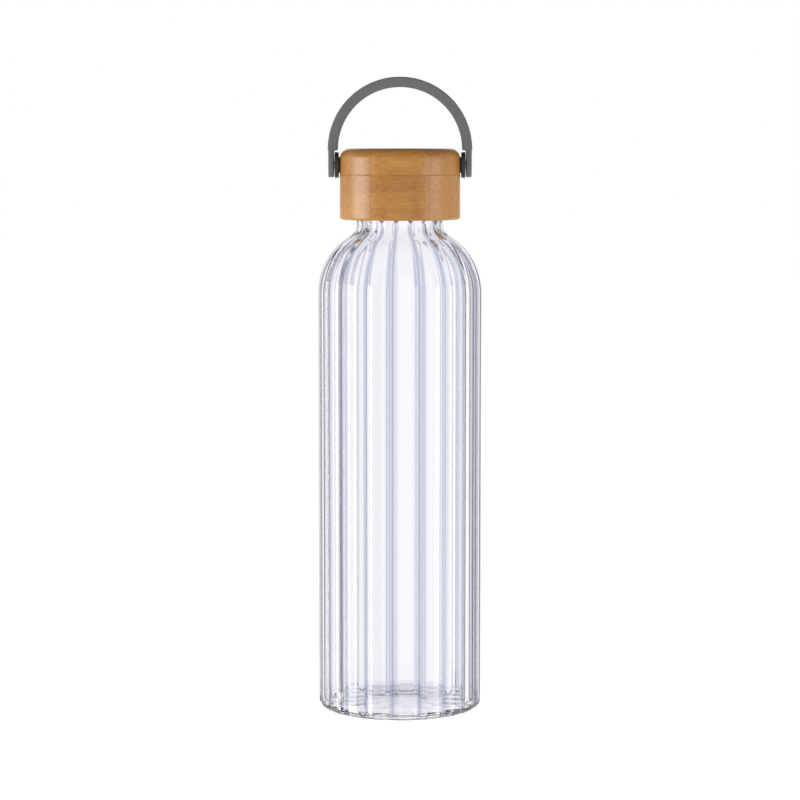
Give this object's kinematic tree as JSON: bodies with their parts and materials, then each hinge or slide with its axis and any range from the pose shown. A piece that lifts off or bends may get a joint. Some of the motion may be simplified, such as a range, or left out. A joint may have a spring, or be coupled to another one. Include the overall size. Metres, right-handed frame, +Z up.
{
  "type": "glass water bottle",
  "caption": "Fluted clear glass water bottle with a bamboo screw lid and a swinging grey strap handle over it.",
  "frame": {"origin": "centre of the base, on the surface that the bottle stands on", "axes": "+Z up along the bottle's axis, X along the handle's pivots, -Y the front"},
  "size_m": [0.0649, 0.0648, 0.2533],
  "materials": {
    "glass": "clear polished borosilicate glass, fluted",
    "bamboo": "fine-sanded bamboo, satin oiled",
    "liner_plastic": "moulded polypropylene, satin",
    "silicone": "moulded silicone, matt",
    "strap_plastic": "moulded grey strap, matt",
    "black_plastic": "moulded black plastic, satin",
    "stainless_steel": "turned stainless steel",
    "brass": "turned brass"
  },
  "bodies": {
    "bottle": {"glass_body": "glass"},
    "seal": {"seal_ring": "silicone"},
    "lid": {"lid_cap": "bamboo", "lid_collar": "bamboo", "lid_liner": "liner_plastic", "pivot_boss_left": "black_plastic", "pivot_boss_right": "black_plastic", "pivot_insert_left": "brass", "pivot_insert_right": "brass", "pivot_screw_left": "stainless_steel", "pivot_screw_right": "stainless_steel"},
    "handle": {"handle_loop": "strap_plastic"}
  },
  "joints": [
    {"name": "lid_lift", "type": "slide", "parent": "bottle", "child": "seal", "axis": [0, 0, 1], "range_m": [0, 0.01701]},
    {"name": "lid_turn", "type": "hinge", "parent": "seal", "child": "lid", "pos_m": [0, 0, 0.2], "axis": [0, 0, 1], "range_deg": [0, 1530]},
    {"name": "handle_swing", "type": "hinge", "parent": "lid", "child": "handle", "pos_m": [0, 0, 0.2185], "axis": [1, 0, 0], "range_deg": [-120, 120]}
  ],
  "couplings": [
    {"joint": "lid_lift", "follows": "lid_turn", "m_per_rad": 0.00063662}
  ]
}
